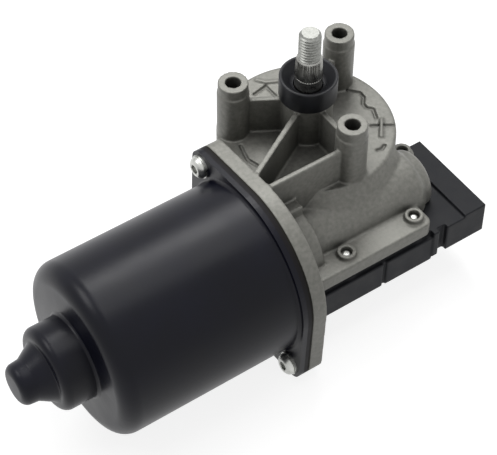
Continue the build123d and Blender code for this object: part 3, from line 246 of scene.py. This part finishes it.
for joint in frame["joints"]:
    if joint["type"] == "slide":
        paint(joint["child"], carbon)
        spring_node = joint["child"].replace("brush", "spring")
        spring = dress(spring_node, spring_steel)
        outward = Vector(joint["axis"]).normalized()
        reach = [v.co.dot(outward) for v in spring.data.vertices]
        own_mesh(spring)

# ---------------------------------------------------------------- gear housing
# Die-cast aluminium, left as cast, with rounded edges and a slightly mottled skin.
# Its colour is darkened in its recesses as painted shade, where its own walls close in.
cast_skin = finish_of(
    "as-cast aluminium", tone(126, 126, 120), tone(144, 143, 137), grain=650, rough=(0.4, 0.5),
    metallic=0.25, bump=0.4, bump_grain=1100, specular=0.3,
)
edge_grid = 0.36 * mm


def paint_recess_shade(mat, reach, deepest_shade_share):
    """Painted shade: multiplies a finish's colour down where the piece's own walls close in."""
    nodes, links = mat.node_tree.nodes, mat.node_tree.links
    shader = nodes["Principled BSDF"]
    skin = shader.inputs["Base Color"].links[0].from_socket
    openness = nodes.new("ShaderNodeAmbientOcclusion")
    openness.only_local = True
    openness.samples = 8
    openness.inputs["Distance"].default_value = reach
    share = nodes.new("ShaderNodeMapRange")
    share.inputs["From Min"].default_value = 0.25
    share.inputs["From Max"].default_value = 0.95
    share.inputs["To Min"].default_value = deepest_shade_share
    share.inputs["To Max"].default_value = 1.0
    links.new(openness.outputs["AO"], share.inputs["Value"])
    shaded = nodes.new("ShaderNodeMix")
    shaded.data_type = "RGBA"
    shaded.blend_type = "MULTIPLY"
    shaded.inputs["Factor"].default_value = 1.0
    links.new(skin, shaded.inputs["A"])
    links.new(share.outputs["Result"], shaded.inputs["B"])
    links.new(shaded.outputs["Result"], shader.inputs["Base Color"])


def soften(node, mat, grid, rounds, kept):
    """A CAD node with every edge and corner softened, as a casting or a moulding has them."""
    piece = merged_copy(node, node + "_softened")
    skin = piece.modifiers.new("even grid", "REMESH")
    skin.mode = "VOXEL"
    skin.voxel_size = grid
    skin.use_smooth_shade = True
    rounding = piece.modifiers.new("rounding", "SMOOTH")
    rounding.factor = 0.5
    rounding.iterations = rounds
    thinning = piece.modifiers.new("thinning", "DECIMATE")
    thinning.ratio = kept
    flats = piece.modifiers.new("even flats", "WEIGHTED_NORMAL")
    flats.weight = 75
    stands_for(piece, node, mat)


# Painted shade in the casting's recesses, down to 0.3 of its colour where they are deepest.
paint_recess_shade(cast_skin, reach=14 * mm, deepest_shade_share=0.3)
soften("gear_housing", cast_skin, grid=edge_grid, rounds=4, kept=0.26)

# ---------------------------------------------------------------- bearings in the housing
# A ball bearing carries the armature at the flange and a bronze bush the worm's far end.
# Two more bronze bushes carry the output shaft, with a rubber ring above them.
black_rubber = finish_of(
    "black rubber", tone(17, 18, 22), tone(24, 25, 30), grain=180, rough=(0.4, 0.5),
    bump=0.15, bump_grain=1200, specular=0.35,
)
for node in ("front_bearing_outer_ring", "front_bearing_inner_ring", "front_bearing_balls"):
    paint(node, ground_steel)
for node in ("worm_end_bush", "upper_output_bush", "lower_output_bush"):
    paint(node, sintered_bronze)
paint("worm_thrust_pad", clear_acetal)
paint("shaft_o_ring", black_rubber)

# ---------------------------------------------------------------- worm wheel and parking disc
# A moulded acetal wheel turned by the worm, fast on the output shaft.
# The brass disc under it feeds three spring fingers that stop the motor in its parked place.
paint("worm_wheel", clear_acetal)
paint("contact_disc", sheet_brass)
paint("parking_contacts", sheet_brass)
paint("thrust_washers", spring_steel)
paint("retaining_clip", spring_steel)

# ---------------------------------------------------------------- output shaft
# Turned steel: a serrated taper that grips the crank arm and a rolled M8 thread above it.
# Below the taper the shaft is ground for its bushes and grooved for its clip.
bright_taper = finish_of(
    "cut taper", tone(148, 148, 144), tone(172, 172, 168), grain=500, rough=(0.26, 0.34), metallic=1.0,
)
rolled_thread = finish_of(
    "rolled thread", tone(124, 125, 121), tone(158, 159, 155), grain=1100, rough=(0.38, 0.5), metallic=1.0,
)
spin_weld = 0.003 * mm
shaft_foot = -49.5 * mm
journal_r = 5.0 * mm
groove_r = 4.4 * mm
groove_foot = -6.13 * mm
groove_top = -5.07 * mm
taper_base = 2.5 * mm
taper_base_r = 5.1 * mm
taper_top_r = 4.6 * mm
taper_edge = 0.5 * mm
serrations = 36
valley_share = 0.94
thread_base = 10.9 * mm
thread_foot = thread_base - 0.2 * mm
thread_r = 4.0 * mm
thread_root_r = thread_r - 0.62 * mm
thread_pitch = 1.25 * mm
thread_steps = 48
lead_in = 1.0 * mm
spindle_top = 22.2 * mm


def shown(name, bm, mat, body, node, crease=34):
    """Shows a finished mesh in a CAD node's place, on its body, smooth except at real edges."""
    bmesh.ops.recalc_face_normals(bm, faces=bm.faces)
    mesh = bpy.data.meshes.new(name)
    bm.to_mesh(mesh)
    bm.free()
    piece = bpy.data.objects.new(name, mesh)
    bpy.context.collection.objects.link(piece)
    mesh.shade_smooth()
    mesh.set_sharp_from_angle(angle=math.radians(crease))
    mesh.materials.append(mat)
    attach(piece, body)
    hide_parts(node)


def turned(bm, profile, centre, axis, side, steps=96):
    """Spins a profile of (radius, height along the axis, corner rounding) round an axis."""
    line = []
    for radius, height, rounding in profile:
        at = Vector(centre) + Vector(side) * radius + Vector(axis) * height
        line.append((bm.verts.new(at), rounding))
    for a, b in zip(line, line[1:]):
        bm.edges.new((a[0], b[0]))
    for corner, rounding in line:
        if rounding:
            bmesh.ops.bevel(
                bm, geom=[corner], offset=rounding, segments=4, profile=0.5,
                affect="VERTICES", material=-1,
            )
    loose = [v for v in bm.verts if not v.link_faces] + [e for e in bm.edges if not e.link_faces]
    bmesh.ops.spin(
        bm, geom=loose, cent=centre, axis=axis, angle=2 * math.pi, steps=steps, use_merge=True,
    )
    bmesh.ops.remove_doubles(bm, verts=bm.verts, dist=spin_weld)


bm = bmesh.new()
turned(
    bm,
    [
        (0, shaft_foot, 0), (journal_r, shaft_foot, 0.5 * mm),
        (journal_r, groove_foot, 0), (groove_r, groove_foot, 0),
        (groove_r, groove_top, 0), (journal_r, groove_top, 0),
        (journal_r, taper_base, 0.2 * mm), (thread_r, taper_base + 0.3 * mm, 0),
        (0, taper_base + 0.3 * mm, 0),
    ],
    (0, 0, 0), (0, 0, 1), (1, 0, 0),
)
shown("output_shaft_journal", bm, bright_taper, "output", "output_shaft")

bm = bmesh.new()
ring = bmesh.ops.create_circle(bm, cap_ends=True, radius=taper_base_r, segments=2 * serrations)["verts"]
for index, v in enumerate(sorted(ring, key=lambda v: math.atan2(v.co.y, v.co.x))):
    if index % 2:
        v.co *= valley_share
bmesh.ops.translate(bm, verts=ring, vec=(0, 0, taper_base))
lifted = bmesh.ops.extrude_face_region(bm, geom=list(bm.faces))
top_ring = [v for v in lifted["geom"] if isinstance(v, bmesh.types.BMVert)]
narrowing = taper_top_r / taper_base_r
bmesh.ops.scale(bm, verts=top_ring, vec=(narrowing, narrowing, 1))
bmesh.ops.translate(bm, verts=top_ring, vec=(0, 0, thread_base - taper_base - taper_edge))
cap_faces = [f for f in bm.faces if all(v in top_ring for v in f.verts)]
bmesh.ops.inset_region(bm, faces=cap_faces, thickness=taper_edge)
bmesh.ops.translate(bm, verts=list({v for f in cap_faces for v in f.verts}), vec=(0, 0, taper_edge))
shown("output_shaft_taper", bm, bright_taper, "output", "output_shaft", crease=20)

# The thread starts two turns low, so that its lower cut goes all the way round.
bm = bmesh.new()
turns = int((spindle_top - thread_base) / thread_pitch) + 3
start = thread_base - 2 * thread_pitch
form = ((0, thread_root_r), (0.12, thread_root_r), (0.45, thread_r), (0.62, thread_r))
profile = []
for turn in range(turns):
    foot = start + turn * thread_pitch
    for share, radius in form:
        profile.append(bm.verts.new((radius, 0, foot + share * thread_pitch)))
strands = [bm.edges.new(pair) for pair in zip(profile, profile[1:])]
bmesh.ops.spin(
    bm, geom=profile + strands, cent=(0, 0, 0), axis=(0, 0, 1), angle=2 * math.pi, steps=thread_steps,
    dvec=(0, 0, thread_pitch / thread_steps),
)
bmesh.ops.remove_doubles(bm, verts=bm.verts, dist=spin_weld)
for height, upward in ((spindle_top, 1), (thread_foot, -1)):
    everything = list(bm.verts) + list(bm.edges) + list(bm.faces)
    bmesh.ops.bisect_plane(
        bm, geom=everything, plane_co=(0, 0, height), plane_no=(0, 0, upward), clear_outer=True,
    )
    rim = [e for e in bm.edges if e.is_boundary and abs(e.verts[0].co.z - height) < 0.01 * mm]
    bmesh.ops.edgeloop_fill(bm, edges=rim)
for v in bm.verts:
    allowed = thread_r - max(0.0, v.co.z - spindle_top + lead_in)
    reach = math.hypot(v.co.x, v.co.y)
    if reach > allowed:
        v.co.x *= allowed / reach
        v.co.y *= allowed / reach
shown("output_shaft_thread", bm, rolled_thread, "output", "output_shaft", crease=25)

# ---------------------------------------------------------------- seal cap
# Moulded rubber pushed on the hub: a rounded rim, a wall and a dish down to the shaft.
# The lip stands just clear of the shaft.
cap_r = 10.5 * mm
cap_bore_r = 8.3 * mm
cap_foot = -7.0 * mm
cap_top = 2.0 * mm
lip_r = 5.3 * mm
lip_top = -2.0 * mm
lip_foot = -4.2 * mm
bm = bmesh.new()
turned(
    bm,
    [
        (cap_bore_r, cap_foot, 0), (cap_r, cap_foot, 0.5 * mm),
        (cap_r, cap_top, 0.5 * mm), (cap_r - 1.0 * mm, cap_top, 0.4 * mm),
        (cap_r - 1.5 * mm, cap_top - 0.7 * mm, 0.6 * mm), (lip_r + 1.0 * mm, -1.8 * mm, 0.8 * mm),
        (lip_r, lip_top, 0.2 * mm), (lip_r, lip_foot, 0),
        (cap_bore_r, lip_foot, 0), (cap_bore_r, cap_foot, 0),
    ],
    (0, 0, 0), (0, 0, 1), (1, 0, 0),
)
shown("seal_cap_moulded", bm, black_rubber, "case", "seal_cap")

# ---------------------------------------------------------------- flange joint
# A paper gasket under the carrier's rim, and two plated screws with washers through the ears.
# The screws' heads are domed, with a six-sided recess.
gasket_paper = finish_of(
    "gasket", tone(30, 29, 27), tone(42, 41, 37), grain=600, rough=(0.6, 0.75), specular=0.1,
)
plated_steel = finish_of(
    "zinc-plated steel", tone(176, 177, 173), tone(206, 207, 203), grain=500, rough=(0.26, 0.4),
    metallic=0.95,
)
paint("flange_gasket", gasket_paper)
paint("flange_washers", plated_steel)


def centres_of(node):
    """Middle of each separate solid in a CAD node."""
    bm = bmesh.new()
    bm.from_mesh(frame["nodes"][node].data)
    bmesh.ops.remove_doubles(bm, verts=bm.verts, dist=weld)
    left = set(bm.verts)
    middles = []
    while left:
        edge_of_search = [left.pop()]
        solid = list(edge_of_search)
        while edge_of_search:
            v = edge_of_search.pop()
            for e in v.link_edges:
                other = e.other_vert(v)
                if other in left:
                    left.remove(other)
                    edge_of_search.append(other)
                    solid.append(other)
        low = Vector([min(v.co[i] for v in solid) for i in range(3)])
        high = Vector([max(v.co[i] for v in solid) for i in range(3)])
        middles.append((low + high) / 2)
    bm.free()
    return middles


def socket_screws(name, node, axis, socket, crown, shoulder, head, shank_r, tail):
    """Turned screws with domed heads and six-sided sockets, one for each solid of a CAD node.

    The heads lie at the low end of the node's box along the axis. Socket and head are a radius
    and a height, crown a radius and a rounding, shoulder a radius, a height and a rounding.
    """
    socket_r, socket_depth = socket
    crown_r, crown_rounding = crown
    head_r, head_h = head
    profile = [
        (0, socket_depth, 0), (socket_r, socket_depth, 0), (socket_r, 0.1 * mm, 0.1 * mm),
        (crown_r, 0, crown_rounding), shoulder, (head_r, head_h, 0.2 * mm), (shank_r, head_h, 0), *tail,
    ]
    along = axis.index(1)
    side = Vector(axis).orthogonal().normalized()
    cross = Vector(axis).cross(side)
    bm = bmesh.new()
    for foot in centres_of(node):
        foot[along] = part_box(node)[0][along]
        one = bmesh.new()
        turned(one, profile, foot, axis, side, steps=48)
        for v in one.verts:
            out = v.co - foot
            out -= Vector(axis) * out.dot(axis)
            if abs(out.length - socket_r) < 0.01 * mm:
                angle = math.atan2(out.dot(cross), out.dot(side)) % (math.pi / 3) - math.pi / 6
                v.co += out * (math.cos(math.pi / 6) / math.cos(angle) - 1)
        mesh = bpy.data.meshes.new("one screw")
        one.to_mesh(mesh)
        one.free()
        bm.from_mesh(mesh)
        bpy.data.meshes.remove(mesh)
    shown(name, bm, plated_steel, "case", node)


screw_low, screw_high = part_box("flange_screws")
shank_r = 2.5 * mm
shank_end = screw_high.x - screw_low.x
socket_screws(
    "flange_screws_turned", "flange_screws", (1, 0, 0),
    socket=(1.9 * mm, 1.6 * mm), crown=(2.6 * mm, 0.4 * mm), shoulder=(4.0 * mm, 1.1 * mm, 0.8 * mm),
    head=(4.1 * mm, 2.4 * mm), shank_r=shank_r,
    tail=[(shank_r, shank_end, 0), (0, shank_end, 0)],
)

# ---------------------------------------------------------------- cover and plug socket
# Moulded glass-filled nylon: a tray that closes the gear case and holds the lead plate and its blades.
# Five plated screws from below press it on a soft seal, and their tips show in the case's lugs.
cover_nylon = finish_of(
    "charcoal nylon", tone(27, 28, 31), tone(34, 35, 39), grain=240, rough=(0.46, 0.58),
    bump=0.3, bump_grain=1300, specular=0.18,
)
soften("gear_cover", cover_nylon, grid=edge_grid, rounds=2, kept=0.4)
paint("cover_seal", black_rubber)
paint("lead_plate", phenolic)
paint("connector_terminals", sheet_brass)

screw_low, screw_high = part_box("cover_screws")
shank_r = 2.0 * mm
tip_r = 1.1 * mm
tip_stands_out = 1.7 * mm
tip = screw_high.z - screw_low.z + tip_stands_out
socket_screws(
    "cover_screws_turned", "cover_screws", (0, 0, 1),
    socket=(1.6 * mm, 1.3 * mm), crown=(2.2 * mm, 0.3 * mm), shoulder=(3.4 * mm, 0.6 * mm, 0.6 * mm),
    head=(3.6 * mm, 2.2 * mm), shank_r=shank_r,
    tail=[(shank_r, tip - 0.9 * mm, 0.5 * mm), (tip_r, tip, 0.5 * mm), (0, tip, 0)],
)

# ---------------------------------------------------------------- floor
# A plain pale floor just under the lowest point, wide enough to fill the view.
# It shows white to the camera and in reflections and still takes the motor's shadow.
floor_reach = 4.0
floor_gap = 0.2 * mm
floor_grey = 0.4
floor_glow = 0.84
bm = bmesh.new()
bmesh.ops.create_grid(bm, x_segments=1, y_segments=1, size=floor_reach)
bmesh.ops.translate(bm, verts=bm.verts, vec=(0, 0, cad_box[0].z - floor_gap))
floor_mesh = bpy.data.meshes.new("floor")
bm.to_mesh(floor_mesh)
bm.free()
floor = bpy.data.objects.new("floor", floor_mesh)
bpy.context.collection.objects.link(floor)


def seen_directly(nodes, links):
    """1 for camera, glossy and transmission rays, 0 for the light that falls on things."""
    path = nodes.new("ShaderNodeLightPath")
    either = nodes.new("ShaderNodeMath")
    either.operation = "MAXIMUM"
    links.new(path.outputs["Is Camera Ray"], either.inputs[0])
    links.new(path.outputs["Is Glossy Ray"], either.inputs[1])
    total = nodes.new("ShaderNodeMath")
    total.operation = "MAXIMUM"
    links.new(either.outputs["Value"], total.inputs[0])
    links.new(path.outputs["Is Transmission Ray"], total.inputs[1])
    return total.outputs["Value"]


floor_white = bpy.data.materials.new("pale floor")
floor_white.use_nodes = True
nodes, links = floor_white.node_tree.nodes, floor_white.node_tree.links
shader = nodes["Principled BSDF"]
shader.inputs["Base Color"].default_value = (floor_grey, floor_grey, floor_grey, 1)
shader.inputs["Roughness"].default_value = 0.9
shader.inputs["Specular IOR Level"].default_value = 0.0
shader.inputs["Emission Color"].default_value = (1, 1, 1, 1)
glow = nodes.new("ShaderNodeMath")
glow.operation = "MULTIPLY"
glow.inputs[1].default_value = floor_glow
links.new(seen_directly(nodes, links), glow.inputs[0])
links.new(glow.outputs["Value"], shader.inputs["Emission Strength"])
floor_mesh.materials.append(floor_white)

# ---------------------------------------------------------------- studio light
# Three soft boxes overhead, one behind, one at the left and a wide one in front, in a pale room.
# The room shows white to the camera and in reflections, and lights the motor only dimly.
room_light = 0.27
room_shown = 1.0
lamp_distance = 0.9
world = bpy.data.worlds.new("studio")
world.use_nodes = True
nodes, links = world.node_tree.nodes, world.node_tree.links
room = nodes["Background"]
room.inputs["Color"].default_value = (1, 1, 1, 1)
level = nodes.new("ShaderNodeMapRange")
level.inputs["To Min"].default_value = room_light
level.inputs["To Max"].default_value = room_shown
links.new(seen_directly(nodes, links), level.inputs["Value"])
links.new(level.outputs["Result"], room.inputs["Strength"])
bpy.context.scene.world = world
middle = (cad_box[0] + cad_box[1]) / 2


def soft_box(name, direction, size, power):
    """A rectangular lamp in the given direction from the motor, turned towards it."""
    lamp = bpy.data.lights.new(name, "AREA")
    lamp.shape = "RECTANGLE"
    lamp.size, lamp.size_y = size
    lamp.energy = power
    holder = bpy.data.objects.new(name, lamp)
    bpy.context.collection.objects.link(holder)
    towards = Vector(direction).normalized()
    holder.location = middle + towards * lamp_distance
    holder.rotation_mode = "QUATERNION"
    holder.rotation_quaternion = towards.to_track_quat("Z", "Y")


soft_box("overhead", direction=(0.30, 0.46, 0.80), size=(0.36, 0.30), power=3.0)
soft_box("overhead left", direction=(-0.50, 0.36, 0.78), size=(0.42, 0.34), power=2.2)
soft_box("overhead front", direction=(0.15, 0.05, 0.97), size=(0.5, 0.5), power=1.7)

# ---------------------------------------------------------------- camera
# A long lens above the motor's front left, at about two thirds of a metre.
# It looks down at nearly fifty degrees, so that the roof of the case and the can both show.
azimuth, elevation, roll = (math.radians(a) for a in (-35.27, 48.80, 0.59))
focal_px, frame_px, sensor = 1885.5, 497, 36.0
offset = Vector((-21.03, -52.07, 661.54)) * mm
right = Vector((math.cos(azimuth), math.sin(azimuth), 0))
back = Vector((
    math.sin(azimuth) * math.cos(elevation), -math.cos(azimuth) * math.cos(elevation), math.sin(elevation),
))
up = back.cross(right)
turn = Matrix.Rotation(roll, 3, back)
right, up = turn @ right, turn @ up
axes = Matrix((right, up, back)).transposed()
camera_data = bpy.data.cameras.new("camera")
camera_data.sensor_width = sensor
camera_data.lens = focal_px / frame_px * sensor
camera = bpy.data.objects.new("camera", camera_data)
bpy.context.collection.objects.link(camera)
camera.matrix_world = Matrix.Translation(axes @ offset) @ axes.to_4x4()
bpy.context.scene.camera = camera
bpy.context.scene.view_settings.view_transform = "Standard"
